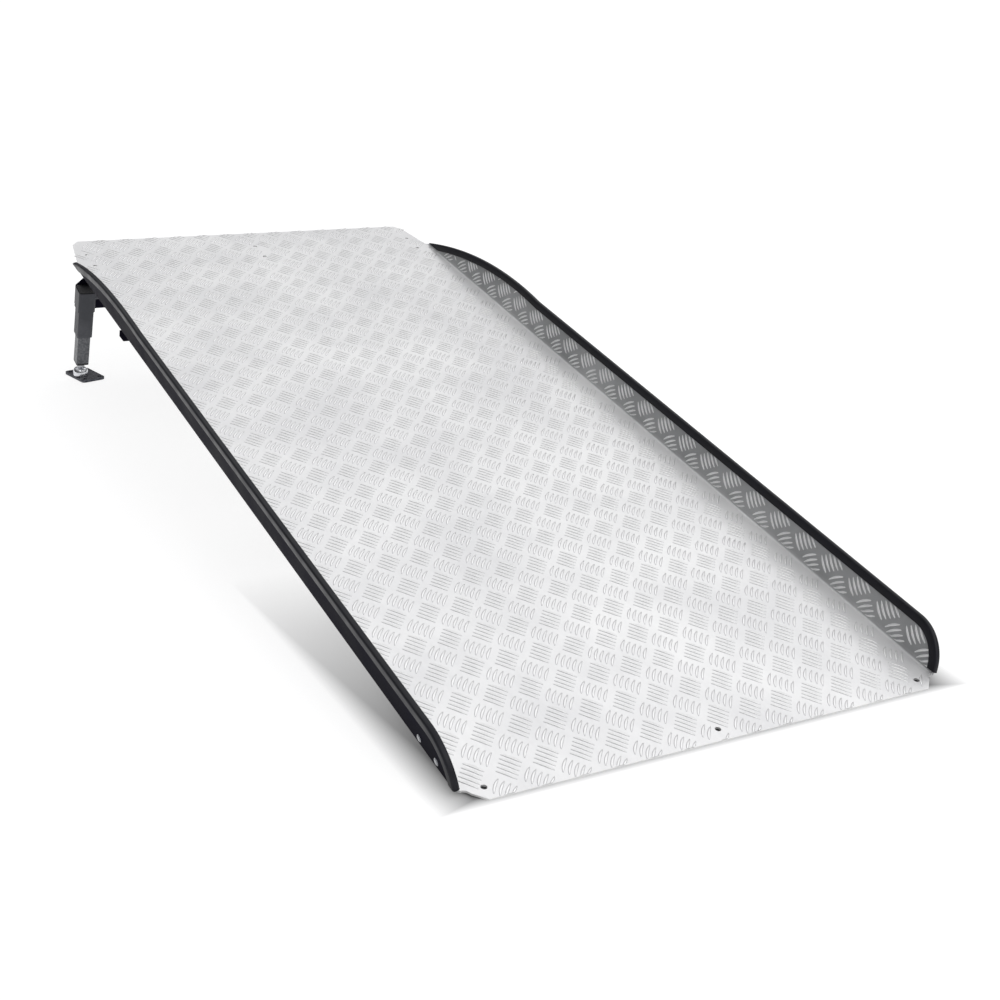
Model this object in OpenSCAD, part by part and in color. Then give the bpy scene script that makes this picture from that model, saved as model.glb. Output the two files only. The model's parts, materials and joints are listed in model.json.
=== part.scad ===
// Folding loading ramp: a bent tread-plate deck with kerbs on a steel underframe,
// and a folding pair of telescopic legs with swivelling feet at its high end.
// Sloped parts are drawn in the deck's own frame: X across, Y up the slope from the
// low edge, Z off the tread surface. The placed() modules carry them to the ramp's frame.

/* [Deck] */
// Length of the deck plate along the slope
deck_len = 1800; // [1600:10:2000]
// Half the flat width between the two kerb bends
deck_half = 391; // [340:1:420]
// Thickness of the tread plate
plate_t = 3; // [2.5:0.5:4]
// Slope of the deck above the ground, in degrees
slope = 8.4; // [7.5:0.1:9.2]
// Distance of the outer bolt holes from the centre line
hole_x = 360; // [320:1:364]
// Diameter of the bolt holes
hole_d = 9; // [7:0.5:11]
// Place of the low row of bolt holes, from the low edge
low_row = 22; // [18:1:30]
// Place of the upper pair's lower row, from the low edge
high_row = 1672; // [1668:1:1690]
// Distance between the two holes of a pair
pair_pitch = 56; // [40:1:60]

/* [Kerbs] */
// Height of the kerb plate above the bend's centre
kerb_h = 55.5; // [40:0.5:70]
// Outward lean of the kerbs, in degrees
kerb_lean = 13.5; // [0:0.5:20]
// Inner radius of the kerb bend
bend_r = 4; // [3:0.5:6]
// Where the kerb begins at the low end
kerb_low = 24.5; // [24:0.5:30]
// Radius of the kerb's round low corner
kerb_low_r = 67.5; // [64:0.5:72]
// Where the kerb is highest, above the legs' fold
kerb_peak = 1320; // [1300:5:1330]
// How far the kerb's long arc rises above its straight edge
kerb_hump = 3; // [1:0.5:5]
// Radius of the long arc down to the high end
kerb_arc_r = 1150; // [1120:10:1180]
// Thickness of the rubber edge trim's legs and crown
trim_t = 2.5; // [1.5:0.1:3]
// Depth of the trim below the kerb's edge
trim_leg = 12; // [8:0.5:14]

/* [Underframe] */
// Thickness of the folded steel side rails
rail_t = 2; // [1.5:0.5:3]
// Inner edge of the side rails' bottom flange
flange_x = 368; // [366:1:376]
// Depth of the cross members
member_h = 20; // [15:1:22]
// Width of the cross members along the slope
member_w = 40; // [30:1:50]
// Wall of the cross members
member_t = 2.5; // [2:0.5:3]
// Place of the lowest cross member along the slope
member_low = 180; // [170:10:220]
// Distance between the cross members
member_pitch = 290; // [260:10:300]
// Place of the tie angle, whose cut-off ends show at the sides
tie_s = 1383; // [1376:1:1388]
// Depth of the tie angle below the tread surface
tie_low = 27; // [24:1:29]

/* [Legs] */
// Distance of each leg from the centre line
leg_x = 381; // [375:0.5:383]
// Where the legs' axis meets the tread surface
leg_s = 1655; // [1650:1:1660]
// Lean of the legs past square to the deck, in degrees
leg_lean = 8; // [6:0.5:9]
// Width of the square outer leg tube
outer_w = 30; // [30:1:32]
// Width of the square inner leg tube
inner_w = 25; // [24:0.5:26]
// Wall of the leg tubes
tube_t = 2; // [1.5:0.5:2.5]
// Distance down the leg of the fold axis
fold_t = 58; // [56:1:60]
// Distance down the leg of the outer tube's low end
outer_end = 151; // [150:1:155]
// Distance down the leg of the inner tube's low end
inner_end = 215; // [212:1:216]
// How far the inner tube can be drawn out to raise the ramp
height_travel = 40; // [30:1:41]
// Radius of the round axle that the leg frame turns on
axle_r = 10; // [9:0.5:11]
// Distance of the hinge lugs from the centre line
lug_x = 250; // [200:5:300]

/* [Feet] */
// Radius of the threaded stem
stem_r = 8; // [7.5:0.1:8]
// Radius of the foot's ball
ball_r = 8; // [7.8:0.1:8]
// Length of the foot plate
foot_l = 74; // [70:1:78]
// Width of the foot plate
foot_w = 52; // [48:1:56]
// Thickness of the foot plate
foot_t = 5; // [4:0.5:5]
// How far the hub stands off the middle of the foot plate, away from the ramp's centre line
foot_offset = 10; // [0:1:10]
// Turn of the foot plates at rest, in degrees
foot_turn = 15; // [0:1:20]

/* [Hidden] */
$fn = 64;
eps = 0.01;
gap = 0.05;
run = deck_len * cos(slope);
lift = plate_t * cos(slope);
lean_abs = slope + leg_lean;
kerb_r = bend_r + plate_t;
rail_r = kerb_r + gap;
rail_out = rail_r + rail_t;
deep = 12;
bend_steps = 14;
bend_low = kerb_low + 2;
bend_high = kerb_peak + 364;
rail_low = 36;
rail_high = bend_high - 6;
head_low = 1598;
head_w = 64;
head_h = 17;
member_count = 4;
tube_top = 46;
socket_wall = 1.95;
socket_w = outer_w + 2 * (socket_wall + gap);
socket_end = 90;
bar_y = socket_w / 2 + gap;
bar_half = leg_x + 15;
bar_t = 4;
bar_top = 30;
bar_low = 88;
bar_deep = 102;
bar_step = leg_x - socket_w / 2 - 1;
bar_cut = 16;
bolt_t = 57;
bolt_r = 4;
nut_r = 7.5;
inner_top = 68;
tube_corner = 3;
bore_w = outer_w - 2 * tube_t;
shim = (bore_w - inner_w) / 2 - 2 * gap;
inner_bore = inner_w - 2 * tube_t;
height_t = 99.5;
plug_t = 4;
stem_top = 170;
neck_r = 4;
ball_z = foot_t + 1 + ball_r;
leg_drop = leg_s * sin(slope) + lift;
ball_t = (leg_drop - ball_z) / cos(lean_abs);
eye_r = 18;
bush_r = 13;
liner_r = ball_r + 1.5;
liner_top = 4;
hub_r = 15;
hub_top = 21;
foot_corner = 7;
foot_hole = 9;

// Carries the deck's frame to the ramp's: origin under the middle of its footprint
module on_deck()
    translate([0, -run / 2, lift]) rotate([slope, 0, 0]) children();

// Leg frame in the deck's frame: local -Z runs down the leg, local -Y faces down the slope
module on_leg(side)
    on_deck() translate([side * leg_x, leg_s, 0]) rotate([leg_lean, 0, 0]) children();

// Frame of a foot: centred under its ball, on the ground, with +Z straight up
module on_foot(side)
    translate([side * leg_x,
        leg_s * cos(slope) + ball_t * sin(lean_abs) - run / 2, 0]) children();

// Mirrors a right-hand shape across the centre line for side -1
module sided(side) mirror([side < 0 ? 1 : 0, 0, 0]) children();

// A bar's profile carried along the slope from s0 to s1: the profile's X, Y are X, Z
module along(s0, s1)
    translate([0, s1, 0]) rotate([90, 0, 0]) linear_extrude(s1 - s0) children();

// Outline of a kerb in its own plane, X along the slope and Y up the kerb, grown by g:
// a straight band with a round low corner, joined to a disc whose arc runs down to the high end
module kerb_outline(g) {
    low_c = kerb_low + kerb_low_r;
    arc_z = kerb_h + kerb_hump - kerb_arc_r;
    band_end = kerb_peak + sqrt(2 * kerb_hump * kerb_arc_r);
    intersection() {
        union() {
            translate([kerb_low - g, -deep]) square([band_end - kerb_low + g, kerb_h + g + deep]);
            translate([kerb_peak, arc_z]) circle(kerb_arc_r + g, $fn = 360);
        }
        union() {
            translate([low_c, kerb_h - kerb_low_r]) circle(kerb_low_r + g, $fn = 128);
            translate([low_c, -deep]) square([deck_len, kerb_h + 2 * deep]);
        }
        translate([0, -deep]) square([deck_len, kerb_h + 2 * deep]);
    }
}

// A sheet from radius r0 to r1 about the right bend's centre, standing on the bend as a kerb
module kerb_sheet(r0, r1)
    translate([deck_half, 0, bend_r]) rotate([0, kerb_lean, 0])
        translate([r0, 0, 0]) rotate([90, 0, 90]) linear_extrude(r1 - r0) children();

// Points round the right bend's centre, X and Z as X and Y, from angle a0 to angle a1
function bend_points(r, a0, a1) =
    [for (i = [0:bend_steps]) let (a = a0 + (a1 - a0) * i / bend_steps)
        [deck_half + r * cos(a), bend_r + r * sin(a)]];

// Point r out from the right bend's centre, at the top of the leaning web
function web_top(r) = [deck_half + r * cos(kerb_lean) + (kerb_h + deep) * sin(kerb_lean),
    bend_r - r * sin(kerb_lean) + (kerb_h + deep) * cos(kerb_lean)];

// Outline of a bend and the leaning web above it, from radius r0 to r1, flat end to flat end
function fold_points(r0, r1) = concat(bend_points(r1, -90, -kerb_lean), [web_top(r1), web_top(r0)],
    bend_points(r0, -kerb_lean, -90));

function mirrored(points) = [for (i = [len(points) - 1:-1:0]) [-points[i][0], points[i][1]]];

module deck_holes() {
    for (x = [-hole_x, 0, hole_x], s = [low_row, high_row, high_row + pair_pitch])
        translate([x, s, -10]) cylinder(d = hole_d, h = 20);
}

// Flat of the deck: full width between the bends, drawn in to chamfered lips at both ends
module deck_outline() {
    lip = deck_half - 11;
    high_lip = deck_half - 17;
    polygon([[16 - lip, 0], [lip - 16, 0], [lip, 16], [lip + 4, kerb_low - 2],
        [deck_half, bend_low], [deck_half, bend_high], [high_lip, deck_len - 17],
        [high_lip - 14, deck_len], [14 - high_lip, deck_len], [-high_lip, deck_len - 17],
        [-deck_half, bend_high], [-deck_half, bend_low], [-lip - 4, kerb_low - 2],
        [-lip, 16]]);
}

module deck_plate() color("gainsboro") on_deck() difference() {
    intersection() {
        along(0, deck_len)
            polygon(concat(fold_points(bend_r, kerb_r), mirrored(fold_points(bend_r, kerb_r))));
        union() {
            translate([0, 0, -plate_t - 1]) linear_extrude(plate_t + 2) deck_outline();
            for (side = [-1, 1]) sided(side) kerb_sheet(0, kerb_r + 2) kerb_outline(0);
        }
    }
    deck_holes();
}

// Rubber channel that grips the kerb's edge and the rail's edge together
module edge_trim(side) color([0.09, 0.09, 0.11]) on_deck() sided(side) difference() {
    kerb_sheet(bend_r - trim_t, rail_out + trim_t) difference() {
        kerb_outline(trim_t);
        kerb_outline(-trim_leg);
        translate([0, -2 * kerb_r]) square([deck_len, 2 * kerb_r + 1]);
    }
    kerb_sheet(bend_r - gap, rail_out + gap) kerb_outline(gap);
}

// Folded rail: a flange under the deck, a bend round the kerb's bend, and a web up its outside
module side_rail(side) color([0.13, 0.13, 0.16]) on_deck() sided(side) difference() {
    intersection() {
        along(rail_low, rail_high)
            polygon(concat([[flange_x, bend_r - rail_out]], fold_points(rail_r, rail_out),
                [[flange_x, bend_r - rail_r]]));
        union() {
            translate([flange_x - 1, 0, -deep]) cube([deck_half - flange_x + 1, deck_len, deep]);
            kerb_sheet(0, rail_out + 2) kerb_outline(-1);
        }
    }
    kerb_sheet(rail_r - 1, rail_out + 1) rivet_row(3.45);
}

// The two rivets near the low end, in the kerb's own plane
module rivet_row(r)
    for (s = [71, 119]) translate([s, 11]) circle(r, $fn = 32);

module side_rivets(side) color("silver") on_deck() sided(side) {
    kerb_sheet(kerb_r + gap, rail_out + gap) rivet_row(3.4);
    kerb_sheet(rail_out + gap, rail_out + 1.2) rivet_row(5.5);
    kerb_sheet(rail_out + 1.1, rail_out + 2) rivet_row(4.4);
}

// A channel open downwards, from -half to half across
module channel(half, s, width, top, depth) difference() {
    translate([-half, s, top - depth]) cube([2 * half, width, depth]);
    translate([-half - 1, s + member_t, top - depth - 1])
        cube([2 * half + 2, width - 2 * member_t, depth - member_t + 1]);
}

module cross_member(i) color([0.13, 0.13, 0.16]) on_deck()
    channel(flange_x - gap, member_low + i * member_pitch, member_w, -plate_t - gap, member_h);

// Angle under the side rails: its web hangs down, and the web's low outer corners are cut off
module tie_angle() color([0.13, 0.13, 0.16]) on_deck() {
    half = leg_x + 18;
    top = -plate_t - rail_t - 3 * gap;
    translate([-half + 12, tie_s - 30, top - 3]) cube([2 * half - 24, 30 - 2, 3]);
    along(tie_s - 3, tie_s)
        polygon([[-half, top], [half, top], [half, 10 - tie_low], [half - 7, -tie_low],
            [7 - half, -tie_low], [-half, 10 - tie_low]]);
}

module head_member() color([0.13, 0.13, 0.16]) on_deck()
    channel(flange_x - gap, head_low, head_w, -plate_t - gap, head_h);

// Rubber wedge under the lip: its underside lies on the ground
module toe_pad() color([0.1, 0.1, 0.1]) on_deck()
    rotate([90, 0, 90]) translate([0, 0, -340]) linear_extrude(680)
        polygon([[30, -plate_t - gap], [90, -plate_t - gap],
            [90, -plate_t - 90 * tan(slope)], [30, -plate_t - 30 * tan(slope)]]);

// Puts the fold axis at the origin, with the deck's directions
module on_fold()
    on_deck() translate([0, leg_s + fold_t * sin(leg_lean), -fold_t * cos(leg_lean)]) children();

// Lug that hangs from the head member and carries the axle in a bush
module hinge_lug(side) color([0.13, 0.13, 0.16]) on_fold() {
    up = fold_t * cos(leg_lean) - plate_t - head_h - 2 * gap;
    translate([side * lug_x, 0, 0]) rotate([90, 0, 90]) translate([0, 0, -5]) difference() {
        linear_extrude(10) union() {
            circle(eye_r);
            polygon([[-eye_r, 0], [eye_r, 0], [6, 22], [-5, up - 4], [-5, up], [-58, up], [-58, up - 5]]);
        }
        translate([0, 0, -1]) cylinder(r = bush_r, h = 12);
    }
}

module hinge_bush(side) color("ivory") on_fold()
    translate([side * lug_x, 0, 0]) rotate([0, 90, 0]) difference() {
        union() {
            cylinder(r = bush_r - 0.02, h = 14, center = true);
            for (z = [-7, 5.1]) translate([0, 0, z]) cylinder(r = bush_r + 2.5, h = 1.9);
        }
        cylinder(r = axle_r + gap, h = 20, center = true);
    }

// Block under the head member that the crossbar's top edge comes to rest against
module stop_block(side) color([0.13, 0.13, 0.16]) on_deck() difference() {
    translate([side * 300 - 20, leg_s, 0]) rotate([leg_lean, 0, 0])
        translate([0, -34, -fold_t + 20]) cube([40, bar_y + 34 - 0.4, fold_t - 20]);
    translate([side * 300 - 30, leg_s - 60, -plate_t - head_h - 2 * gap]) cube([60, 120, 60]);
}

module leg_axle() color([0.16, 0.16, 0.18]) on_fold()
    rotate([0, 90, 0]) difference() {
        cylinder(r = axle_r, h = 2 * (leg_x - socket_w / 2 - gap), center = true);
        cylinder(r = axle_r - 3, h = 2 * leg_x, center = true);
    }

// Two rings on the axle that keep it from sliding through the lugs
module axle_collars() color("silver") on_fold()
    for (side = [-1, 1]) translate([side * (lug_x - 12), 0, 0]) rotate([0, 90, 0]) difference() {
        cylinder(r = axle_r + 5, h = 8, center = true);
        cylinder(r = axle_r + gap, h = 10, center = true);
    }

// Plate behind both legs, slotted round the hinge lugs, with its top corners cut off; it is
// deeper between the legs than behind them, where the clamp bolts slide
module leg_crossbar() color([0.13, 0.13, 0.16]) on_deck()
    translate([0, leg_s, 0]) rotate([leg_lean, 0, 0]) difference() {
        translate([0, bar_y + bar_t, 0]) rotate([90, 0, 0]) linear_extrude(bar_t) difference() {
            polygon([[-bar_half, -bar_low], [-bar_step, -bar_low], [-bar_step, -bar_deep],
                [bar_step, -bar_deep], [bar_step, -bar_low], [bar_half, -bar_low],
                [bar_half, -bar_top - bar_cut], [bar_half - bar_cut, -bar_top],
                [bar_cut - bar_half, -bar_top], [-bar_half, -bar_top - bar_cut]]);
            for (side = [-1, 1])
                translate([side * lug_x - 12, -fold_t - 20]) square([24, 60]);
        }
        for (side = [-1, 1]) translate([side * leg_x, 0, 0]) back_hole(bolt_t, bolt_r + 0.2, 0, 40);
    }

// Round hole or shank square to a leg's back face, from y0 to y1
module back_hole(t, r, y0, y1)
    translate([0, y0, -t]) rotate([-90, 0, 0]) cylinder(r = r, h = y1 - y0);

// Square with round corners, centred
module round_square(w, r) {
    square([w - 2 * r, w], center = true);
    square([w, w - 2 * r], center = true);
    for (x = [-1, 1], y = [-1, 1])
        translate([x * (w / 2 - r), y * (w / 2 - r)]) circle(r);
}

// Square tube with round corners hanging down the leg, from t0 to t1
module leg_tube(w, wall, t0, t1, corner)
    translate([0, 0, -t1]) linear_extrude(t1 - t0) difference() {
        round_square(w, corner);
        round_square(w - 2 * wall, max(corner - wall, 0.5));
    }

module leg_socket(side) color([0.16, 0.16, 0.18]) on_leg(side) difference() {
    leg_tube(socket_w, socket_wall, tube_top, socket_end, tube_corner + socket_wall + gap);
    back_hole(bolt_t, bolt_r + 0.2, 0, 40);
}

module outer_tube(side) color([0.2, 0.2, 0.22]) on_leg(side) difference() {
    leg_tube(outer_w, tube_t, tube_top, outer_end, tube_corner);
    back_hole(bolt_t, bolt_r + 0.2, 0, 40);
    slot_r = bolt_r + 0.3;
    back_hole(height_t, slot_r, 0, 40);
    back_hole(height_t + height_travel, slot_r, 0, 40);
    translate([-slot_r, 0, -height_t - height_travel]) cube([2 * slot_r, 40, height_travel]);
}

module tube_cap(side) color([0.05, 0.05, 0.05]) on_leg(side) {
    translate([0, 0, -tube_top + gap]) linear_extrude(3) round_square(outer_w, tube_corner);
    leg_tube(bore_w - 2 * gap - 0.6, 2, tube_top - 1, tube_top + 3, 2);
}

module leg_bolts() color("silver") for (side = [-1, 1]) on_leg(side) {
    back_hole(bolt_t, bolt_r, 4, bar_y + bar_t + 2);
    translate([0, bar_y + bar_t + 2, -bolt_t]) rotate([-90, 0, 0]) cylinder(r = nut_r, h = 5.3, $fn = 6);
}

module leg_washers() color("silver") for (side = [-1, 1]) on_leg(side) difference() {
    back_hole(bolt_t, 8.5, bar_y + bar_t + gap, bar_y + bar_t + 2 - gap);
    back_hole(bolt_t, bolt_r + gap, 0, 40);
}

module leg_nuts() color("silver") for (side = [-1, 1]) on_leg(side) difference() {
    translate([0, bore_w / 2 - gap - 6.5, -bolt_t]) rotate([-90, 0, 0]) cylinder(r = nut_r, h = 6.5, $fn = 6);
    back_hole(bolt_t, bolt_r + gap, 0, 40);
}

// Nylon collar that guides the inner tube inside the outer tube's mouth
module tube_guide(side) color("ivory") on_leg(side)
    leg_tube(bore_w - 2 * gap, shim, outer_end - 5, outer_end, 2.9);

module inner_tube(side) color([0.5, 0.5, 0.52]) on_leg(side) difference() {
    leg_tube(inner_w, tube_t, inner_top, inner_end, 2.5);
    back_hole(height_t, bolt_r + 0.2, 0, 40);
}

// Clamp bolt on the back of the leg: loosened, it slides down the slot with the inner tube
module height_bolt(side) color("silver") on_leg(side) {
    face = outer_w / 2 + gap;
    back_hole(height_t, bolt_r, 3, face + 2);
    translate([0, face + 2, -height_t]) rotate([-90, 0, 0]) cylinder(r = nut_r, h = 5.3, $fn = 6);
}

module height_washer(side) color("silver") on_leg(side) difference() {
    back_hole(height_t, 8.5, outer_w / 2 + gap, outer_w / 2 + 2 - gap);
    back_hole(height_t, bolt_r + gap, 0, 40);
}

module height_nut(side) color("silver") on_leg(side) difference() {
    translate([0, inner_bore / 2 - gap - 6.5, -height_t]) rotate([-90, 0, 0])
        cylinder(r = nut_r, h = 6.5, $fn = 6);
    back_hole(height_t, bolt_r + gap, 0, 40);
}

module end_plug(side) color([0.05, 0.05, 0.05]) on_leg(side) difference() {
    w = inner_bore - 2 * gap;
    union() {
        translate([0, 0, -inner_end - plug_t]) linear_extrude(plug_t - gap) round_square(inner_w, 2.5);
        translate([0, 0, -inner_end - plug_t / 2]) linear_extrude(plug_t / 2 + 4) round_square(w, 1);
    }
    translate([0, 0, -inner_end - plug_t - 1]) cylinder(r = stem_r + 0.1, h = plug_t + 20);
}

// Threaded block fixed inside the inner tube's low end
module thread_insert(side) color("silver") on_leg(side) difference() {
    w = inner_bore - 2 * gap;
    translate([0, 0, -inner_end + 4 + gap]) linear_extrude(14) round_square(w, 1);
    translate([0, 0, -inner_end]) cylinder(r = stem_r + gap, h = 30);
}

// Threaded stem: screwed up into the leg, necked down to a ball at its low end
module foot_stem(side) color("silver") on_leg(side) {
    translate([0, 0, -ball_t + 13]) cylinder(r = stem_r, h = ball_t - 13 - stem_top);
    translate([0, 0, -ball_t + 10]) cylinder(r1 = neck_r, r2 = stem_r, h = 3 + eps);
    translate([0, 0, -ball_t]) cylinder(r = neck_r, h = 10 + eps);
    translate([0, 0, -ball_t]) sphere(ball_r);
}

// Nylon cup that the ball snaps into
module ball_liner(side) color("ivory") on_foot(side) difference() {
    intersection() {
        translate([0, 0, ball_z]) sphere(liner_r);
        translate([0, 0, foot_t + gap]) cylinder(r = 20, h = ball_z + liner_top - foot_t - gap);
    }
    translate([0, 0, ball_z]) sphere(ball_r + gap);
    translate([0, 0, ball_z]) cylinder(r1 = neck_r + 0.5, r2 = neck_r + 2.9, h = 6.4);
    translate([0, 0, ball_z - 20]) cylinder(r = 3, h = 20);
}

// Domed housing round the cup, open below where the foot plate closes it
module foot_hub(side) color("silver") on_foot(side) difference() {
    rotate_extrude() polygon(concat([[0, foot_t + gap], [hub_r, foot_t + gap], [hub_r, 10]],
        [for (a = [10:10:60]) [hub_r - 8 + 8 * cos(a), 10 + 11 * sin(a)]], [[9, hub_top], [0, hub_top]]));
    translate([0, 0, ball_z]) sphere(liner_r + gap);
    cylinder(r = liner_r - 0.5, h = ball_z - 2.5);
    translate([0, 0, ball_z + 1]) cylinder(r1 = 5.9, r2 = 8.2, h = hub_top - ball_z);
}

module foot_plate(side) color("silver") on_foot(side) rotate([0, 0, -90 - side * foot_turn])
    translate([0, -side * foot_offset, 0]) difference() {
    linear_extrude(foot_t) union() {
        square([foot_l - 2 * foot_corner, foot_w], center = true);
        square([foot_l, foot_w - 2 * foot_corner], center = true);
        for (x = [-1, 1], y = [-1, 1])
            translate([x * (foot_l / 2 - foot_corner), y * (foot_w / 2 - foot_corner)])
                circle(foot_corner);
    }
    for (x = [-1, 1], y = [-1, 1])
        translate([x * (foot_l / 2 - foot_hole), y * (foot_w / 2 - foot_hole), -1])
            cylinder(r = 4.5, h = foot_t + 2);
}

deck_plate();
edge_trim(-1);  // edge_trim_left
edge_trim(1);  // edge_trim_right
side_rail(-1);  // side_rail_left
side_rail(1);  // side_rail_right
side_rivets(-1);  // side_rivets_left
side_rivets(1);  // side_rivets_right
cross_member(0);  // cross_member_1
cross_member(1);  // cross_member_2
cross_member(2);  // cross_member_3
cross_member(3);  // cross_member_4
tie_angle();
head_member();
toe_pad();
hinge_lug(-1);  // hinge_lug_left
hinge_lug(1);  // hinge_lug_right
hinge_bush(-1);  // hinge_bush_left
hinge_bush(1);  // hinge_bush_right
stop_block(-1);  // stop_block_left
stop_block(1);  // stop_block_right
leg_axle();
axle_collars();
leg_crossbar();
leg_socket(-1);  // leg_socket_left
leg_socket(1);  // leg_socket_right
outer_tube(-1);  // outer_tube_left
outer_tube(1);  // outer_tube_right
tube_cap(-1);  // tube_cap_left
tube_cap(1);  // tube_cap_right
leg_bolts();
leg_washers();
leg_nuts();
tube_guide(-1);  // tube_guide_left
tube_guide(1);  // tube_guide_right
inner_tube(-1);  // inner_tube_left
inner_tube(1);  // inner_tube_right
height_bolt(-1);  // height_bolt_left
height_bolt(1);  // height_bolt_right
height_washer(-1);  // height_washer_left
height_washer(1);  // height_washer_right
height_nut(-1);  // height_nut_left
height_nut(1);  // height_nut_right
end_plug(-1);  // end_plug_left
end_plug(1);  // end_plug_right
thread_insert(-1);  // thread_insert_left
thread_insert(1);  // thread_insert_right
foot_stem(-1);  // foot_stem_left
foot_stem(1);  // foot_stem_right
ball_liner(-1);  // ball_liner_left
ball_liner(1);  // ball_liner_right
foot_hub(-1);  // foot_hub_left
foot_hub(1);  // foot_hub_right
foot_plate(-1);  // foot_plate_left
foot_plate(1);  // foot_plate_right
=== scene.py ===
# %% [markdown]
# # A folding loading ramp
# The ramp is one bent sheet of five-bar tread plate, with rubber-trimmed kerbs, on a steel
# underframe. Its high end stands on two telescopic legs with swivelling feet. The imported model
# brings the frame and every part that moves. This lesson adds what a workshop would call the
# finish: the raised tread, the moulded trims, the rolled threads and every material.

# %% Load the frame
import json
import math

import bmesh
import bpy
import numpy as np
from mathutils import Matrix, Vector


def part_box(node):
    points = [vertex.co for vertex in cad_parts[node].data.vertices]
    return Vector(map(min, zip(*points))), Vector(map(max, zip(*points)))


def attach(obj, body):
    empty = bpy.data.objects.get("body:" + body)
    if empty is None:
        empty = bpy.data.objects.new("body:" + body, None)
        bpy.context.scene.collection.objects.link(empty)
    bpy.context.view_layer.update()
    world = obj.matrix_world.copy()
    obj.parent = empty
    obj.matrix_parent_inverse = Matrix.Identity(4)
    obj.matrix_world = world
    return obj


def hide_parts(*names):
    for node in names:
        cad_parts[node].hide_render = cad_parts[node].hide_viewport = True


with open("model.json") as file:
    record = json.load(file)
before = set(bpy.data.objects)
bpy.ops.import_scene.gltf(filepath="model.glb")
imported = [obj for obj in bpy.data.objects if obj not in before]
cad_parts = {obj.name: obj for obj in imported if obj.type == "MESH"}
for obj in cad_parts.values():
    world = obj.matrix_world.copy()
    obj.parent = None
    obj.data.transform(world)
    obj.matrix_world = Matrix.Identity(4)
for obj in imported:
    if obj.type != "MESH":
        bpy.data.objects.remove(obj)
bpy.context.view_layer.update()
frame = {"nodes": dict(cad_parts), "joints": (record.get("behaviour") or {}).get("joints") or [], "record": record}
MM = 0.001

# %% [markdown]
# ## The deck's own directions
# Nearly everything lies on the sloping deck, so it pays to work in its own directions: x across,
# s up the slope and h off the tread surface. The bolt holes' mounts in the record give the slope
# and the place of the deck, so nothing has to be measured twice.

# %% Deck frame
mounts = {m["name"]: m for m in frame["record"]["mounts"]}
joints = {j["name"]: j for j in frame["joints"]}
DECK_UP = np.array(mounts["deck_hole_low_middle"]["axis"])
DECK_ALONG = np.array([0.0, DECK_UP[2], -DECK_UP[1]])
PLATE_T = mounts["deck_hole_low_middle"]["dims"]["length_mm"]
LOW_ROW = 22.0
HOLE_R = mounts["deck_hole_low_middle"]["dims"]["r_mm"]
LOW_HOLE = np.array(mounts["deck_hole_low_middle"]["pos_m"]) / MM
DECK_ZERO = LOW_HOLE + DECK_UP * PLATE_T / 2 - DECK_ALONG * LOW_ROW


def deck_to_world(x, s, h):
    """World place in metres = deck corner line + x across + s up the slope + h off the surface."""
    x, s, h = np.broadcast_arrays(x, s, h)
    place = DECK_ZERO + s[..., None] * DECK_ALONG + h[..., None] * DECK_UP
    place[..., 0] += x
    return place * MM


print("slope:", round(math.degrees(math.atan2(-DECK_UP[1], DECK_UP[2])), 2), "degrees")

# %% [markdown]
# ## The camera
# The camera stands low in front of the ramp, to its left, and is rolled a few degrees as a
# hand-held one is. The lens is a mild telephoto, so the deck narrows gently with distance.

# %% Camera
CAMERA_PLACE = (-1.2280, -2.2706, 1.0649)
CAMERA_AZIMUTH = -31.44
CAMERA_ELEVATION = 22.32
CAMERA_ROLL = 4.72


def aim(azimuth, elevation, roll):
    """Camera axes from a compass angle, a height angle and a turn about the line of sight."""
    a, e, r = (math.radians(v) for v in (azimuth, elevation, roll))
    back = Vector((math.sin(a) * math.cos(e), -math.cos(a) * math.cos(e), math.sin(e)))
    level = Vector((math.cos(a), math.sin(a), 0.0))
    above = back.cross(level)
    right = level * math.cos(r) + above * math.sin(r)
    up = back.cross(right)
    return Matrix((right, up, back)).transposed()


camera_data = bpy.data.cameras.new("camera")
camera_data.lens = 56.45
camera_data.sensor_width = 36.0
camera_data.clip_end = 200.0
camera = bpy.data.objects.new("camera", camera_data)
turned = aim(CAMERA_AZIMUTH, CAMERA_ELEVATION, CAMERA_ROLL).to_4x4()
camera.matrix_world = Matrix.Translation(CAMERA_PLACE) @ turned
bpy.context.collection.objects.link(camera)
bpy.context.scene.camera = camera
print("camera at", CAMERA_PLACE)

# %% [markdown]
# ## A few tools
# New pieces are surfaces worked out with numpy: whole arrays of points, then faces made from
# the grid's rows and columns. One function turns a grid into a mesh, and closes it if asked.

# %% Mesh tools


def grid_faces(rows, columns, closed_rows=False, closed_columns=False, start=0):
    """Faces of a rows by columns grid: each joins a point, the next one and the two beside them."""
    r = np.arange(rows if closed_rows else rows - 1)
    c = np.arange(columns if closed_columns else columns - 1)
    r, c = np.meshgrid(r, c, indexing="ij")
    r2, c2 = (r + 1) % rows, (c + 1) % columns
    quads = np.stack([r * columns + c, r * columns + c2, r2 * columns + c2, r2 * columns + c], -1)
    return quads.reshape(-1, 4) + start


def make_piece(name, points, faces, smooth=True):
    """Object at the origin whose mesh holds these points and faces, all of it in metres."""
    mesh = bpy.data.meshes.new(name)
    mesh.from_pydata(np.asarray(points, float).reshape(-1, 3).tolist(), [], faces)
    mesh.update()
    mesh.polygons.foreach_set("use_smooth", np.full(len(mesh.polygons), smooth))
    piece = bpy.data.objects.new(name, mesh)
    bpy.context.collection.objects.link(piece)
    print(f"{name}: {len(mesh.vertices)} points, {len(mesh.polygons)} faces")
    return piece


def sharpen(piece, degrees):
    """Edges that turn by more than this angle stay crisp under smooth shading."""
    piece.data.set_sharp_from_angle(angle=math.radians(degrees))


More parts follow.
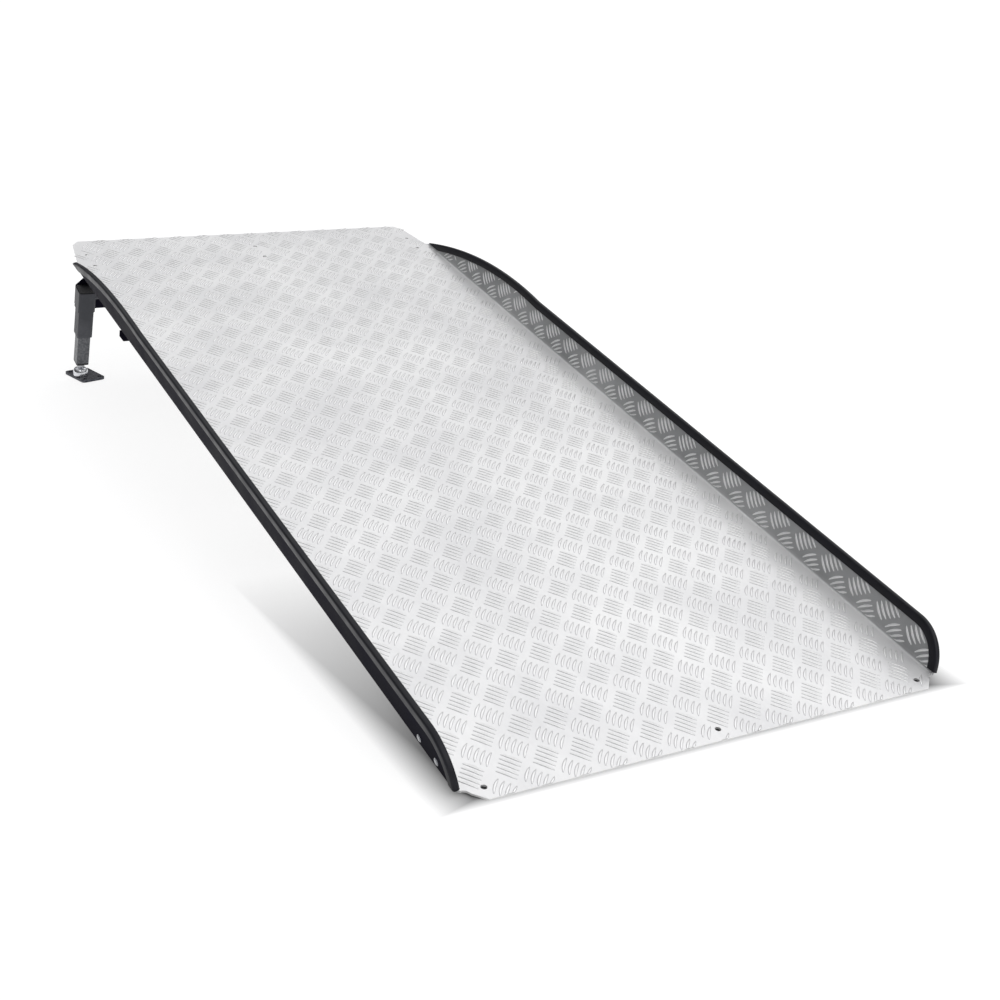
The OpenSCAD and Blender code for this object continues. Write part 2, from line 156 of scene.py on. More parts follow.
# %% [markdown]
# Colours are written as a paint chart gives them, in sRGB hex, and one function turns them to
# the linear values that shaders need. One more adds a node with its settings and its links.

# %% Material tools


def colour(code):
    """Linear colour of an sRGB hex code: small values divided, large ones raised to 2.4."""
    parts = [int(code[i:i + 2], 16) / 255 for i in (0, 2, 4)]
    return [p / 12.92 if p <= 0.04045 else ((p + 0.055) / 1.055) ** 2.4 for p in parts] + [1.0]


def add(tree, kind, inputs, **settings):
    """A node of this kind: settings are its own values, inputs are socket values or links."""
    node = tree.nodes.new(kind)
    for key, value in settings.items():
        setattr(node, key, value)
    for key, value in inputs.items():
        if isinstance(value, bpy.types.NodeSocket):
            tree.links.new(value, node.inputs[key])
        else:
            node.inputs[key].default_value = value
    return node


def new_material(name):
    """An empty material with its output, its shader and the object's own coordinates."""
    material = bpy.data.materials.new(name)
    material.use_nodes = True
    tree = material.node_tree
    tree.nodes.clear()
    place = add(tree, "ShaderNodeTexCoord", {}).outputs["Object"]
    shader = add(tree, "ShaderNodeBsdfPrincipled", {})
    add(tree, "ShaderNodeOutputMaterial", {"Surface": shader.outputs["BSDF"]})
    return material, tree, shader, place


def noise(tree, place, size_mm, detail=3.0, stretch=(1.0, 1.0, 1.0)):
    """Soft noise whose patches are about size_mm across, drawn out along an axis by stretch."""
    spread = add(tree, "ShaderNodeMapping", {"Vector": place, "Scale": stretch})
    scale = 1.0 / (size_mm * MM)
    return add(tree, "ShaderNodeTexNoise", {"Vector": spread.outputs[0], "Scale": scale,
                                            "Detail": detail}).outputs[0]


def between(tree, factor, low, high, from_low=0.35, from_high=0.65):
    """A number that runs from low to high as the factor runs over its middle range."""
    return add(tree, "ShaderNodeMapRange", {"Value": factor, "From Min": from_low,
                                            "From Max": from_high, "To Min": low,
                                            "To Max": high}).outputs[0]


def tint(tree, factor, low_code, high_code):
    """A colour between two chart colours, by a factor from 0 to 1."""
    ramp = add(tree, "ShaderNodeMix", {"Factor": factor}, data_type="RGBA")
    ramp.inputs[6].default_value = colour(low_code)
    ramp.inputs[7].default_value = colour(high_code)
    return ramp.outputs[2]


def dent(tree, shader, height, depth_mm):
    """Fine relief: the height pattern is given its real depth in millimetres."""
    bump = add(tree, "ShaderNodeBump", {"Height": height, "Distance": depth_mm * MM})
    tree.links.new(bump.outputs[0], shader.inputs["Normal"])


# %% [markdown]
# ## Tread plate
# The deck is rolled aluminium tread plate, left as it comes from the mill: bright, with faint
# streaks along the rolling direction and cloudy patches where it has been handled. The oxide on
# it is pale and matt, so part of its light is diffuse and the rest is a soft metal reflection.
# The kerbs were bent up: there the sheet is painted darker, as painted shade, and the kerbs' bars are painted
# bright, as a painted highlight. The bars on the deck are painted darker at their feet, as painted shade.

# %% Tread plate material


def mill_aluminium():
    """Rolled aluminium: pale reflection, streaks along the slope, cloudy handling marks, and painted shade on the
    kerbs.
    """
    material, tree, shader, place = new_material("mill_finish_aluminium")
    streaks = noise(tree, place, 3.0, 4.0, (1.0, 0.04, 0.04))
    clouds = noise(tree, place, 180.0, 4.0)
    mill = tint(tree, between(tree, clouds, 0.0, 1.0), "E6E6E6", "F4F4F3")
    side = add(tree, "ShaderNodeSeparateXYZ", {"Vector": place}).outputs["X"]
    out = add(tree, "ShaderNodeMath", {0: side}, operation="ABSOLUTE").outputs[0]
    # Past the bend the sheet takes a darker colour: painted shade on the kerbs.
    on_kerb = between(tree, out, 0.0, 1.0, 0.391, 0.396)
    shade = add(tree, "ShaderNodeMix", {"Factor": on_kerb}, data_type="RGBA")
    tree.links.new(mill, shade.inputs[6])
    tree.links.new(tint(tree, between(tree, clouds, 0.0, 1.0), "9A9B9C", "B8B9BA"),
                   shade.inputs[7])
    tree.links.new(shade.outputs[2], shader.inputs["Base Color"])
    tree.links.new(between(tree, streaks, 0.36, 0.44), shader.inputs["Roughness"])
    shader.inputs["Metallic"].default_value = 0.55
    dent(tree, shader, noise(tree, place, 1.2, 2.0), 0.02)
    return material


def rolled_bars():
    """The raised bars: height off the sheet = place along the deck's normal; their feet are painted darker, a
    painted shade.
    """
    material, tree, shader, place = new_material("rolled_bar_aluminium")
    off = add(tree, "ShaderNodeVectorMath", {0: place, 1: DECK_UP.tolist()},
              operation="DOT_PRODUCT").outputs["Value"]
    sheet = float(DECK_ZERO @ DECK_UP) * MM
    # Painted shade: the bar's colour darkens towards the sheet and is lightest from 0.6 mm up.
    crown = between(tree, off, 0.0, 1.0, sheet, sheet + 0.6 * MM)
    tree.links.new(tint(tree, crown, "B4B5B6", "F6F6F5"), shader.inputs["Base Color"])
    rubs = noise(tree, place, 20.0, 4.0)
    tree.links.new(between(tree, rubs, 0.3, 0.4), shader.inputs["Roughness"])
    shader.inputs["Metallic"].default_value = 0.7
    return material


def rubbed_aluminium():
    """The bars that stand up from a kerb: painted bright, a painted highlight against the kerb sheet's painted
    shade.
    """
    material, tree, shader, place = new_material("rubbed_aluminium")
    rubs = noise(tree, place, 20.0, 4.0)
    # Painted highlight: the kerb's bars are set near full white.
    shade = tint(tree, between(tree, rubs, 0.0, 1.0), "F0F0F0", "FFFFFF")
    tree.links.new(shade, shader.inputs["Base Color"])
    tree.links.new(between(tree, rubs, 0.3, 0.42), shader.inputs["Roughness"])
    shader.inputs["Metallic"].default_value = 0.5
    return material


TREAD = mill_aluminium()
DECK_BARS = rolled_bars()
KERB_BARS = rubbed_aluminium()

# %% [markdown]
# ## Rubber, paint, zinc and nylon
# The trims are extruded rubber, with a skin that is almost smooth and slightly bloomed. The
# underframe is powder-coated: the powder melts into a faint orange peel about 1.5 mm across.
# The inner tubes are dull zinc, stems, hubs and bolts are bright zinc, and the pressed foot plates
# are a greyer zinc. Bushes and ball cups are plain nylon, and the tubes' caps are black nylon.

# %% Other materials


def extruded_rubber():
    """Dense black rubber with a blue cast and a dusty bloom that lifts its highlights."""
    material, tree, shader, place = new_material("extruded_rubber")
    bloom = noise(tree, place, 35.0, 4.0)
    shade = tint(tree, between(tree, bloom, 0.0, 1.0), "0B0B13", "13131C")
    tree.links.new(shade, shader.inputs["Base Color"])
    tree.links.new(between(tree, bloom, 0.36, 0.5), shader.inputs["Roughness"])
    shader.inputs["Specular IOR Level"].default_value = 0.3
    dent(tree, shader, noise(tree, place, 0.9, 2.0), 0.03)
    return material


def powder_coat(name, low_code, high_code, roughness, gloss):
    """Baked powder paint: even colour, orange peel, a thin gloss that varies a little."""
    material, tree, shader, place = new_material(name)
    drift = noise(tree, place, 60.0, 3.0)
    shade = tint(tree, between(tree, drift, 0.0, 1.0), low_code, high_code)
    tree.links.new(shade, shader.inputs["Base Color"])
    tree.links.new(between(tree, drift, roughness - 0.04, roughness + 0.06),
                   shader.inputs["Roughness"])
    shader.inputs["Specular IOR Level"].default_value = gloss
    dent(tree, shader, noise(tree, place, 1.5, 1.0), 0.03)
    return material


def zinc_plate(name, low_code, high_code, smooth_end, rough_end):
    """Electroplated zinc: cool reflection, crystals about 4 mm across, small rub marks."""
    material, tree, shader, place = new_material(name)
    crystals = noise(tree, place, 4.0, 3.0)
    rubs = noise(tree, place, 14.0, 5.0)
    shade = tint(tree, between(tree, crystals, 0.0, 1.0), low_code, high_code)
    tree.links.new(shade, shader.inputs["Base Color"])
    tree.links.new(between(tree, rubs, smooth_end, rough_end), shader.inputs["Roughness"])
    shader.inputs["Metallic"].default_value = 1.0
    dent(tree, shader, crystals, 0.01)
    return material


def moulded_nylon(name, low_code, high_code):
    """Injection-moulded nylon: even colour under a fine matt grain."""
    material, tree, shader, place = new_material(name)
    grain = noise(tree, place, 0.8, 2.0)
    shade = tint(tree, between(tree, grain, 0.0, 1.0), low_code, high_code)
    tree.links.new(shade, shader.inputs["Base Color"])
    shader.inputs["Roughness"].default_value = 0.5
    dent(tree, shader, grain, 0.03)
    return material


RUBBER = extruded_rubber()
FRAME_COAT = powder_coat("frame_powder_coat", "12111B", "191823", 0.45, 0.01)
LEG_COAT = powder_coat("leg_powder_coat", "46474B", "55565A", 0.36, 0.08)
INNER_ZINC = zinc_plate("dull_zinc", "515255", "68696C", 0.3, 0.42)
BRIGHT_ZINC = zinc_plate("bright_zinc", "C9CBCF", "E6E7EA", 0.12, 0.24)
FOOT_ZINC = zinc_plate("grey_plate_zinc", "2F3037", "5A5B61", 0.25, 0.4)
BLACK_NYLON = moulded_nylon("black_nylon", "0E0E10", "17171A")
NATURAL_NYLON = moulded_nylon("natural_nylon", "D9D5C8", "E6E2D6")
FINISHES = {"tread_plate": TREAD, "trim_rubber": RUBBER, "frame_steel": FRAME_COAT,
            "leg_steel": LEG_COAT, "inner_steel": INNER_ZINC, "zinc": BRIGHT_ZINC,
            "black_nylon": BLACK_NYLON, "natural_nylon": NATURAL_NYLON}

# %% [markdown]
# ## Finish the carried-over parts
# The record says which finish each part has, and the part gets that one material. The pressed
# foot plates have a greyer zinc than the turned parts, because they aren't polished first.

# %% Paint the frame
for part in frame["record"]["subparts"]:
    node = frame["nodes"][part["node"]]
    node.data.materials.clear()
    pressed_foot = part["node"].startswith("foot_plate")
    node.data.materials.append(FOOT_ZINC if pressed_foot else FINISHES[part["material_slot"]])


def finish_piece(piece, body, slot):
    """A new piece takes the material of its slot and rides on its body."""
    piece.data.materials.append(FINISHES[slot])
    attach(piece, body)
    return piece


# %% [markdown]
# ## The fold
# The plate runs flat, turns up through a tight bend and goes on as a kerb that leans outwards.
# The tread was rolled into the sheet before it was bent, so the bars are laid out on the flat
# sheet and carried over the bend by one rule. x is measured along the sheet: up to DECK_HALF it
# is deck, from KERB_FOOT it is kerb, and the kerb has come down to the deck before KERB_END.

# %% Fold rule
DECK_LEN = 1800.0
DECK_HALF = 391.0
BEND_R = 4.0
KERB_LEAN = math.radians(13.5)
KERB_H = 55.5
KERB_LOW_R = 67.5
KERB_LOW = 24.5
KERB_PEAK = 1320.0
KERB_HUMP = 3.0
KERB_ARC_R = 1150.0
TRIM_T = 2.5
TRIM_LEG = 12.0
RAIL_OUT = 9.05
BEND_TURN = math.pi / 2 - KERB_LEAN
KERB_FOOT = DECK_HALF + BEND_R * BEND_TURN
KERB_END = 1690.0


def kerb_to_deck(r, up):
    """Across and off-surface place of a point r out from the bend's centre and up the kerb."""
    x = DECK_HALF + r * math.cos(KERB_LEAN) + up * math.sin(KERB_LEAN)
    h = BEND_R - r * math.sin(KERB_LEAN) + up * math.cos(KERB_LEAN)
    return x, h


def over_the_fold(x, lift):
    """The sheet's x becomes flat deck, then an arc of the bend's radius, then the leaning kerb."""
    along = np.abs(x)
    turn = np.clip((along - DECK_HALF) / BEND_R, 0.0, BEND_TURN)
    up = np.clip(along - KERB_FOOT, 0.0, None)
    r = BEND_R - lift
    flat_x = np.minimum(along, DECK_HALF)
    new_x = flat_x + r * np.sin(turn) + up * math.sin(KERB_LEAN)
    new_h = BEND_R - r * np.cos(turn) + up * math.cos(KERB_LEAN)
    return np.sign(x) * new_x, new_h


def kerb_edge(s):
    """Height of the kerb's edge: a round low corner, a straight run, then one long arc."""
    low_centre = KERB_LOW + KERB_LOW_R
    inward = np.clip(low_centre - s, 0.0, KERB_LOW_R)
    corner = KERB_H - KERB_LOW_R + np.sqrt(KERB_LOW_R ** 2 - inward ** 2)
    reach = np.clip(KERB_ARC_R ** 2 - (s - KERB_PEAK) ** 2, 0.0, None)
    arc = KERB_H + KERB_HUMP - KERB_ARC_R + np.sqrt(reach)
    straight_end = KERB_PEAK + math.sqrt(2 * KERB_HUMP * KERB_ARC_R)
    band = np.where(s < straight_end, np.maximum(KERB_H, arc), arc)
    return np.where(s < low_centre, corner, band)


# %% [markdown]
# ## The five-bar tread
# Five short bars side by side make a group, and neighbouring groups lie across each other, along
# the two diagonals of one cell of the pattern. Each bar is a low lens: widest and highest in the
# middle, and drawn to a point at both ends. It could be a bump in the material, but the bars
# catch light along their flanks and show at the deck's edge, so they are real. All the bars are
# one array, made in one go. A bar that would meet a bolt hole is left out, and a kerb's bars are
# cut off between the bend and the trim.

# %% Tread bars
CELL_X = 54.8
CELL_S = 67.3
BAR_X, BAR_S = np.array([CELL_X, CELL_S]) / math.hypot(CELL_X, CELL_S)
BAR_LEN = 32.0
BAR_W = 4.8
BAR_H = 1.3
BAR_PITCH = 8.5
BAR_BOW = 1.8
SUNK = 0.25
RINGS = np.linspace(-0.86, 0.86, 5)
SECTION_W = np.array([-1.0, -0.6, 0.0, 0.6, 1.0])
SECTION_H = np.array([0.0, 0.78, 1.0, 0.78, 0.0])
GROUP_X = -10.5
GROUP_S = 213.5
FOLD_MARGIN = 9.0
CORNER_CUT = 30.0
KERB_BARS_LOW = KERB_LOW + 12.0
KERB_BARS_HIGH = KERB_PEAK + KERB_ARC_R / 3.3
NARROWING = ((KERB_END, 0.17), (1775.0, 0.7))


def bar_layout():
    """Centres and slants of all the bars on the flat sheet: two interleaved lattices."""
    half_sheet = KERB_FOOT + KERB_H
    columns = np.arange(-10, 11) * CELL_X
    rows = np.arange(-4, 26) * CELL_S
    order = (np.arange(5) - 2) * BAR_PITCH
    past_edge = 8.0
    found = []
    for shift, slant in ((0.0, 1.0), (0.5, -1.0)):
        x, s, k = np.meshgrid(GROUP_X + shift * CELL_X + columns,
                              GROUP_S + shift * CELL_S + rows, order, indexing="ij")
        found.append(np.stack([x + k * BAR_X, s - slant * k * BAR_S, np.full_like(x, slant)],
                              -1).reshape(-1, 3))
    bars = np.concatenate(found)
    on_length = (bars[:, 1] > -past_edge) & (bars[:, 1] < DECK_LEN + past_edge)
    return bars[(np.abs(bars[:, 0]) < half_sheet) & on_length]


def trim_edge(s):
    """Height up the kerb at which the trim's inner lip starts."""
    return kerb_edge(np.clip(s, KERB_LOW, KERB_END)) - TRIM_LEG


def off_the_holes(bars):
    """True where a bar misses every bolt hole, beside its own line or ahead along it."""
    line = np.stack([np.full(len(bars), BAR_X), bars[:, 2] * BAR_S], -1)
    clear = np.ones(len(bars), bool)
    for mount in mounts.values():
        if mount["name"].startswith("deck_hole"):
            gap = np.array(mount["pos_m"]) / MM - DECK_ZERO
            away = np.stack([bars[:, 0] - gap[0], bars[:, 1] - gap @ DECK_ALONG], -1)
            beside = np.abs((away[:, ::-1] * line * (1, -1)).sum(1))
            ahead = np.abs((away * line).sum(1))
            clear &= (beside > HOLE_R + BAR_W / 2 + 0.6) | (ahead > HOLE_R + BAR_LEN / 2 - 3)
    return clear


def on_plate(bars):
    """True where a bar lies on the sheet: inside its outline, below the trim, off the holes."""
    x, s = np.abs(bars[:, 0]), bars[:, 1]
    up = x - KERB_FOOT
    kerb_ok = (s > KERB_BARS_LOW) & (s < KERB_BARS_HIGH) & (up > -3.0) & (up < trim_edge(s) + 4.0)
    low_cut = DECK_HALF - CORNER_CUT + np.clip(s, 0, CORNER_CUT)
    high_cut = DECK_HALF - 8.0
    for start, rate in NARROWING:
        high_cut = high_cut - np.clip(s - start, 0, None) * rate
    flat_ok = (x < low_cut) & (x < high_cut)
    return np.where(up > -FOLD_MARGIN, kerb_ok, flat_ok) & off_the_holes(bars)


def raise_bars(name, bars):
    """Lens bars: width and height fall off as the root of one less the distance squared."""
    u = RINGS[:, None]
    swell = np.sqrt(1 - u ** 2)
    along = np.broadcast_to(u * BAR_LEN / 2, (5, 5)).ravel()
    across = (SECTION_W * swell * BAR_W / 2 + BAR_BOW * (1 - u ** 2)).ravel()
    lift = (SECTION_H * swell * BAR_H - SUNK).ravel()
    along = np.append(along, [-BAR_LEN / 2, BAR_LEN / 2])
    across = np.append(across, [0.0, 0.0])
    lift = np.append(lift, [-SUNK, -SUNK])
    slant = bars[:, 2:3]
    x = bars[:, 0:1] + along * BAR_X - slant * across * BAR_S
    s = bars[:, 1:2] + slant * along * BAR_S + across * BAR_X
    s = np.clip(s, 0.6, DECK_LEN - 0.6)
    on_kerb = np.abs(bars[:, 0:1]) > KERB_FOOT - FOLD_MARGIN
    cut = np.clip(np.abs(x), KERB_FOOT + 0.5, KERB_FOOT + trim_edge(s) - 0.2)
    x = np.where(on_kerb, np.sign(x) * cut, x)
    folded_x, folded_h = over_the_fold(x, np.broadcast_to(lift, x.shape))
    points = deck_to_world(folded_x, s, folded_h)
    body = grid_faces(5, 5, closed_columns=True)
    ring = np.arange(5)
    start_cap = np.stack([np.full(5, 25), (ring + 1) % 5, ring], -1)
    end_cap = np.stack([np.full(5, 26), 20 + ring, 20 + (ring + 1) % 5], -1)
    offsets = np.arange(len(bars)) * 27
    quads = (body[None] + offsets[:, None, None]).reshape(-1, 4)
    caps = (np.concatenate([start_cap, end_cap])[None] + offsets[:, None, None]).reshape(-1, 3)
    return make_piece(name, points, quads.tolist() + caps.tolist())


def fix_outside(piece):
    """Turns every face of a closed piece outwards."""
    work = bmesh.new()
    work.from_mesh(piece.data)
    bmesh.ops.recalc_face_normals(work, faces=work.faces)
    work.to_mesh(piece.data)
    work.free()


all_bars = bar_layout()
all_bars = all_bars[on_plate(all_bars)]
flat = np.abs(all_bars[:, 0]) < DECK_HALF - FOLD_MARGIN
lower_half = all_bars[:, 1] < DECK_LEN / 2
on_left = all_bars[:, 0] < 0
TREAD_PARTS = {"tread_low": flat & lower_half, "tread_high": flat & ~lower_half,
               "tread_kerb_left": ~flat & on_left, "tread_kerb_right": ~flat & ~on_left}
for name, chosen in TREAD_PARTS.items():
    tread = raise_bars(name, all_bars[chosen])
    fix_outside(tread)
    finish_piece(tread, "ramp", "tread_plate")
    tread.data.materials[0] = KERB_BARS if "kerb" in name else DECK_BARS

# %% [markdown]
# ## The edge trims
# Each kerb's edge, with the rail's edge beside it, is gripped by an extruded rubber channel. On
# the real ramp it is one length, bent round the corner and pressed on. So it is one profile, a
# channel with a round crown and soft tips, carried along the kerb's edge.

# %% Trim profile and path
TRIM_IN = BEND_R - TRIM_T
TRIM_OUT = RAIL_OUT + TRIM_T
SLOT_IN = BEND_R - 0.05
SLOT_OUT = RAIL_OUT + 0.05


def arc_points(centre, radius, start, stop, count):
    """Points round a centre, from one angle to another, in degrees."""
    angle = np.radians(np.linspace(start, stop, count))
    return np.stack([centre[0] + radius * np.cos(angle), centre[1] + radius * np.sin(angle)], -1)


def trim_profile():
    """Channel section: x is the place across the kerb, y the depth below its edge, negative up."""
    crown, tip = 3.6, 1.1
    outer = [
        arc_points((TRIM_IN + crown, -TRIM_T + crown), crown, 180, 270, 9),
        arc_points((TRIM_OUT - crown, -TRIM_T + crown), crown, 270, 360, 9),
        arc_points((TRIM_OUT - tip, TRIM_LEG - tip), tip, 0, 90, 5),
        arc_points((SLOT_OUT + tip, TRIM_LEG - tip), tip, 90, 180, 5),
        np.array([[SLOT_OUT, 0.1], [SLOT_IN, 0.1]]),
        arc_points((SLOT_IN - tip, TRIM_LEG - tip), tip, 0, 90, 5),
        arc_points((TRIM_IN + tip, TRIM_LEG - tip), tip, 90, 180, 5),
    ]
    return np.concatenate(outer)


def trim_path():
    """Places and outward directions along the kerb's edge, from its low end to its high end."""
    trim_end = 1683.0
    corner = np.radians(np.linspace(172, 90, 32))
    low_centre = KERB_LOW + KERB_LOW_R
    low = np.stack([low_centre + KERB_LOW_R * np.cos(corner),
                    KERB_H - KERB_LOW_R + KERB_LOW_R * np.sin(corner)], -1)
    low_out = np.stack([np.cos(corner), np.sin(corner)], -1)
    s = np.linspace(low_centre + 10, trim_end, 150)
    run = np.stack([s, kerb_edge(s)], -1)
    slope = np.gradient(run[:, 1], s)
    run_out = np.stack([-slope, np.ones_like(s)], -1) / np.hypot(slope, 1)[:, None]
    return np.concatenate([low, run]), np.concatenate([low_out, run_out])


def edge_trim(side, name):
    """The profile stands square to the path in the kerb's own plane, and is cut off at the deck."""
    profile = trim_profile()
    path, out = trim_path()
    depth = profile[None, :, 1]
    s = path[:, None, 0] - out[:, None, 0] * depth
    up = np.maximum(path[:, None, 1] - out[:, None, 1] * depth, 1.0)
    x, h = kerb_to_deck(np.broadcast_to(profile[None, :, 0], s.shape), up)
    points = deck_to_world(side * x, s, h)
    rows, columns = s.shape
    faces = grid_faces(rows, columns, closed_columns=True).tolist()
    faces.append(list(range(columns)))
    faces.append(list(range(rows * columns - 1, (rows - 1) * columns - 1, -1)))
    piece = make_piece(name, points, faces)
    fix_outside(piece)
    sharpen(piece, 40)
    return piece


for side, hand in ((-1, "left"), (1, "right")):
    trim = finish_piece(edge_trim(side, f"rubber_trim_{hand}"), "ramp", "trim_rubber")
    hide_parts(f"edge_trim_{hand}")

# %% [markdown]
# ## The feet's stems
# A stem is a steel rod with a rolled thread, necked down to a ball. Its radius along its axis is
# one profile, and the thread adds a wave that climbs one pitch in each turn. The thread is 2 mm
# in pitch, as an M16 one is. The ball turns in a hub with a domed top, which is turned from bar.
# Heights are measured from the ball's centre.

# %% Turned parts
THREAD_PITCH = 2.0
THREAD_DEPTH = 1.1
BALL_R = 8.0
STEM_R = 8.0
NECK_R = 4.0
NECK_TOP = 9.9
ROD_FOOT = 13.0
CUP_R = 9.55
DOME_H = 11.0
DOME_TOP_R = 9.6


def revolve(name, radius, height, base, axis, turns=48, wave=None, ring=False):
    """Radius and height carried round an axis; wave adds a thread, ring closes the profile."""
    up = np.array(axis) / np.linalg.norm(axis)
    east = np.array([1.0, 0.0, 0.0])
    north = np.cross(up, east)
    angle = np.arange(turns) * 2 * math.pi / turns
    grown = np.broadcast_to(radius[:, None], (len(radius), turns)).copy()
    if wave is not None:
        grown += wave(height[:, None], angle[None, :])
    spoke = np.cos(angle)[:, None] * east + np.sin(angle)[:, None] * north
    points = np.array(base) + (grown[..., None] * spoke + height[:, None, None] * up) * MM
    faces = grid_faces(len(radius), turns, closed_rows=ring, closed_columns=True).tolist()
    if not ring:
        faces.append(list(range(turns)))
        faces.append(list(range(len(radius) * turns - 1, (len(radius) - 1) * turns - 1, -1)))
    piece = make_piece(name, points, faces)
    fix_outside(piece)
    return piece


def stem(hand):
    """Ball, neck, cone and rod, with the rod threaded as far as it goes up into the leg."""
    ball = joints[f"foot_tilt_{hand}"]["pos_m"]
    axis = -np.array(joints[f"stem_screw_{hand}"]["axis"])
    stem_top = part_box(f"foot_stem_{hand}")[1][2]
    top = ((stem_top - ball[2]) / MM - STEM_R * math.hypot(axis[0], axis[1])) / axis[2]
    root_r = STEM_R - THREAD_DEPTH
    turn = np.radians(np.linspace(-88, 59, 22))
    rod = np.arange(ROD_FOOT + 0.4, top - 1.2, 0.25)
    height = np.concatenate([BALL_R * np.sin(turn), [NECK_TOP, ROD_FOOT], rod, [top - 1.0, top]])
    radius = np.concatenate([BALL_R * np.cos(turn), [NECK_R, STEM_R - 0.6],
                             np.full(len(rod), root_r), [root_r, root_r - 0.6]])

    def thread(at, angle):
        """Rounded ridges that climb one pitch a turn and fade out at both ends of the rod."""
        phase = at / THREAD_PITCH - angle / (2 * math.pi)
        fade = np.clip((at - ROD_FOOT - 0.2) / 1.5, 0, 1) * np.clip((top - 1.0 - at) / 1.5, 0, 1)
        return THREAD_DEPTH * fade * (0.5 + 0.5 * np.cos(2 * math.pi * phase)) ** 0.8

    piece = revolve(f"threaded_stem_{hand}", radius, height, ball, axis, wave=thread)
    sharpen(piece, 60)
    return piece


def hub(hand):
    """Domed housing: flat foot, short skirt, quarter-round dome, open mouth and round inside."""
    ball = joints[f"foot_swivel_{hand}"]["pos_m"]
    low, high = (np.array(c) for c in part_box(f"foot_hub_{hand}"))
    bottom, top = (low[2] - ball[2]) / MM, (high[2] - ball[2]) / MM
    outer = (high[0] - low[0]) / 2 / MM
    dome = np.radians(np.linspace(0, 78, 14))
    skirt = [[outer - 0.6, bottom], [outer, bottom + 0.6], [outer, top - DOME_H]]
    rise = np.stack([DOME_TOP_R + (outer - DOME_TOP_R) * np.cos(dome),
                     top - DOME_H + DOME_H * np.sin(dome)], -1)[1:]
    mouth = [[DOME_TOP_R - 0.5, top], [8.2, top], [7.4, top - 0.8], [6.9, top - 3.2]]
    cup = np.radians(np.linspace(24, -60, 12))
    cavity = np.stack([CUP_R * np.cos(cup), CUP_R * np.sin(cup)], -1)
    section = np.concatenate([skirt, rise, mouth, cavity[1:], [[8.4, bottom]]])
    piece = revolve(f"domed_hub_{hand}", section[:, 0], section[:, 1], ball, (0, 0, 1), 64,
                    ring=True)
    sharpen(piece, 35)
    return piece


for hand in ("left", "right"):
    rod = finish_piece(stem(hand), f"stem_{hand}", "zinc")
    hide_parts(f"foot_stem_{hand}")
    cover = finish_piece(hub(hand), f"foot_{hand}", "zinc")
    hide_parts(f"foot_hub_{hand}")

# %% [markdown]
# ## Floor and light
# The ramp stands in a plain white studio. The floor runs out of sight, a broad soft light shines from the front of
# the ceiling, and the surroundings are bright above, dark at eye level and dimmer on the left. Metal shows what it
# faces, so the deck comes out white and whatever faces left comes out dark. The floor is a lit panel, as in a
# product studio, which keeps its shadows pale. Its glow is masked off under the low half of the deck, a painted
# shadow: the ramp stands on a soft dark patch there, and the bolt holes in the lip look into the dark.

# %% Studio
SKY_PEAK = 0.95
SKY_GLOW = ((0.04, 0.05), (0.2, 0.12), (0.42, 0.35), (0.51, 0.42), (0.64, 1.0), (0.8, 0.85))
SKY_ZENITH = 0.65
SKY_LEFT = 0.6
SKY_RIGHT = 1.9
FLOOR_GLOW = 0.8


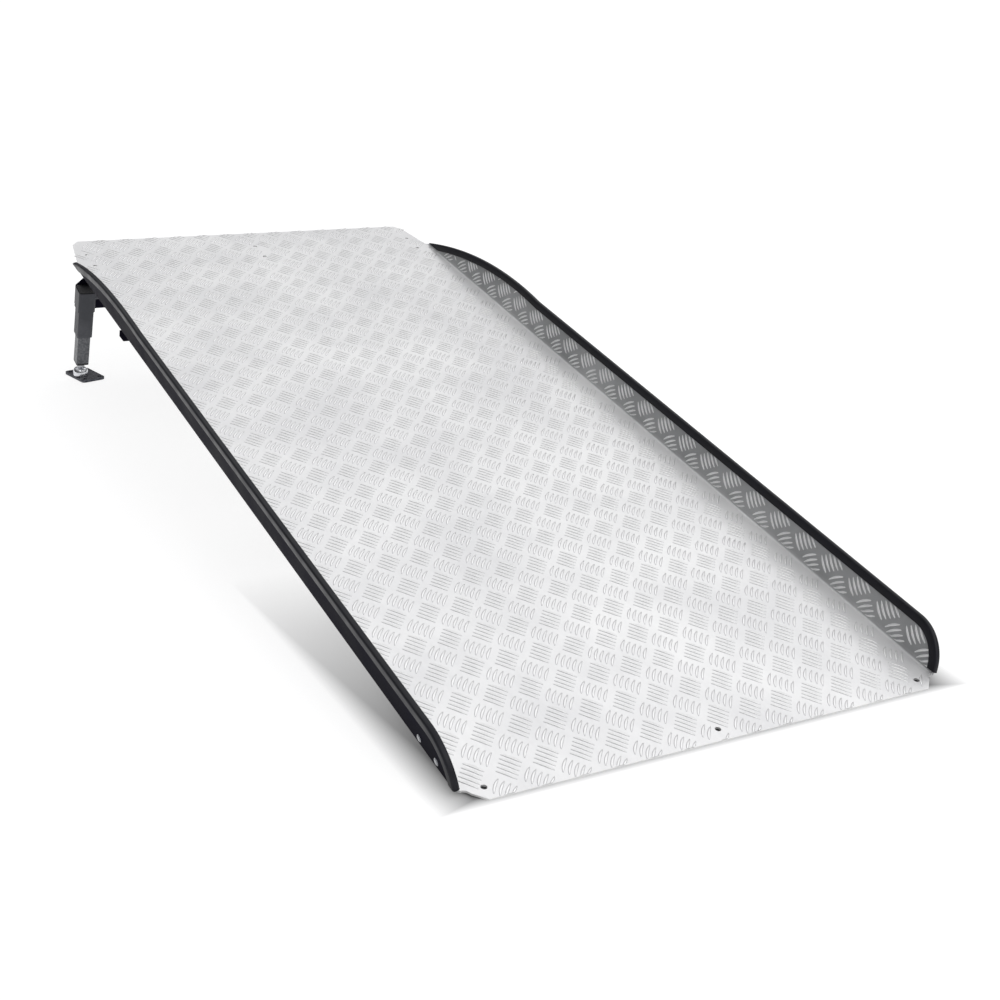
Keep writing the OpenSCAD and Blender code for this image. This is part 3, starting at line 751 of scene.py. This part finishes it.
def studio_floor():
    """A large flat square, far bigger than the view."""
    half = 60.0
    corners = [[-half, -half, 0], [half, -half, 0], [half, half, 0], [-half, half, 0]]
    piece = make_piece("studio_floor", corners, [[0, 1, 2, 3]], smooth=False)
    material, tree, shader, place = new_material("matt_white_floor")
    shader.inputs["Base Color"].default_value = colour("959595")
    shader.inputs["Roughness"].default_value = 0.9
    shader.inputs["Specular IOR Level"].default_value = 0.1
    shader.inputs["Emission Color"].default_value = colour("FFFFFF")
    parts = add(tree, "ShaderNodeSeparateXYZ", {"Vector": place}).outputs
    across = add(tree, "ShaderNodeMath", {0: parts["X"]}, operation="ABSOLUTE").outputs[0]
    # Painted shadow: the glow is masked off beside and under the low end of the ramp, so the floor is darker
    # there.
    beside = between(tree, across, 0.0, FLOOR_GLOW, 0.38, 0.44)
    behind = between(tree, parts["Y"], 0.0, FLOOR_GLOW, -0.85, -0.2)
    before = between(tree, parts["Y"], FLOOR_GLOW, 0.0, -0.9, -0.88)
    lit = add(tree, "ShaderNodeMath", {0: beside, 1: behind}, operation="MAXIMUM").outputs[0]
    lit = add(tree, "ShaderNodeMath", {0: lit, 1: before}, operation="MAXIMUM").outputs[0]
    tree.links.new(lit, shader.inputs["Emission Strength"])
    piece.data.materials.append(material)


def studio_sky():
    """Surroundings: dark at eye level, bright above; seen directly they are a white backdrop."""
    world = bpy.data.worlds.new("studio")
    world.use_nodes = True
    tree = world.node_tree
    tree.nodes.clear()
    direction = add(tree, "ShaderNodeTexCoord", {}).outputs["Generated"]
    parts = add(tree, "ShaderNodeSeparateXYZ", {"Vector": direction}).outputs
    ramp = add(tree, "ShaderNodeFloatCurve", {"Value": parts["Z"]})
    ramp.mapping.curves[0].points[1].location = (1.0, SKY_ZENITH)
    for at, glow in SKY_GLOW:
        ramp.mapping.curves[0].points.new(at, glow)
    ramp.mapping.update()
    across = between(tree, parts["X"], SKY_PEAK * SKY_LEFT, SKY_PEAK * SKY_RIGHT, -0.7, 0.9)
    level = add(tree, "ShaderNodeMath", {0: ramp.outputs[0], 1: across}, operation="MULTIPLY")
    glow = add(tree, "ShaderNodeBackground", {"Color": colour("FDFDFF"),
                                              "Strength": level.outputs[0]})
    backdrop = add(tree, "ShaderNodeBackground", {"Color": colour("FFFFFF")})
    seen = add(tree, "ShaderNodeLightPath", {}).outputs["Is Camera Ray"]
    both = add(tree, "ShaderNodeMixShader", {0: seen, 1: glow.outputs[0], 2: backdrop.outputs[0]})
    add(tree, "ShaderNodeOutputWorld", {"Surface": both.outputs[0]})
    bpy.context.scene.world = world


def broad_sun(name, towards, strength, spread):
    """A distant light so broad that its shadows melt away; towards is the way it shines."""
    light = bpy.data.lights.new(name, "SUN")
    light.energy = strength
    light.angle = math.radians(spread)
    lamp = bpy.data.objects.new(name, light)
    lamp.matrix_world = Vector(towards).to_track_quat("-Z", "Y").to_matrix().to_4x4()
    bpy.context.collection.objects.link(lamp)


studio_floor()
studio_sky()
broad_sun("front", (-0.05, 0.9, -0.8), 0.7, 60.0)
bpy.context.scene.view_settings.view_transform = "Standard"
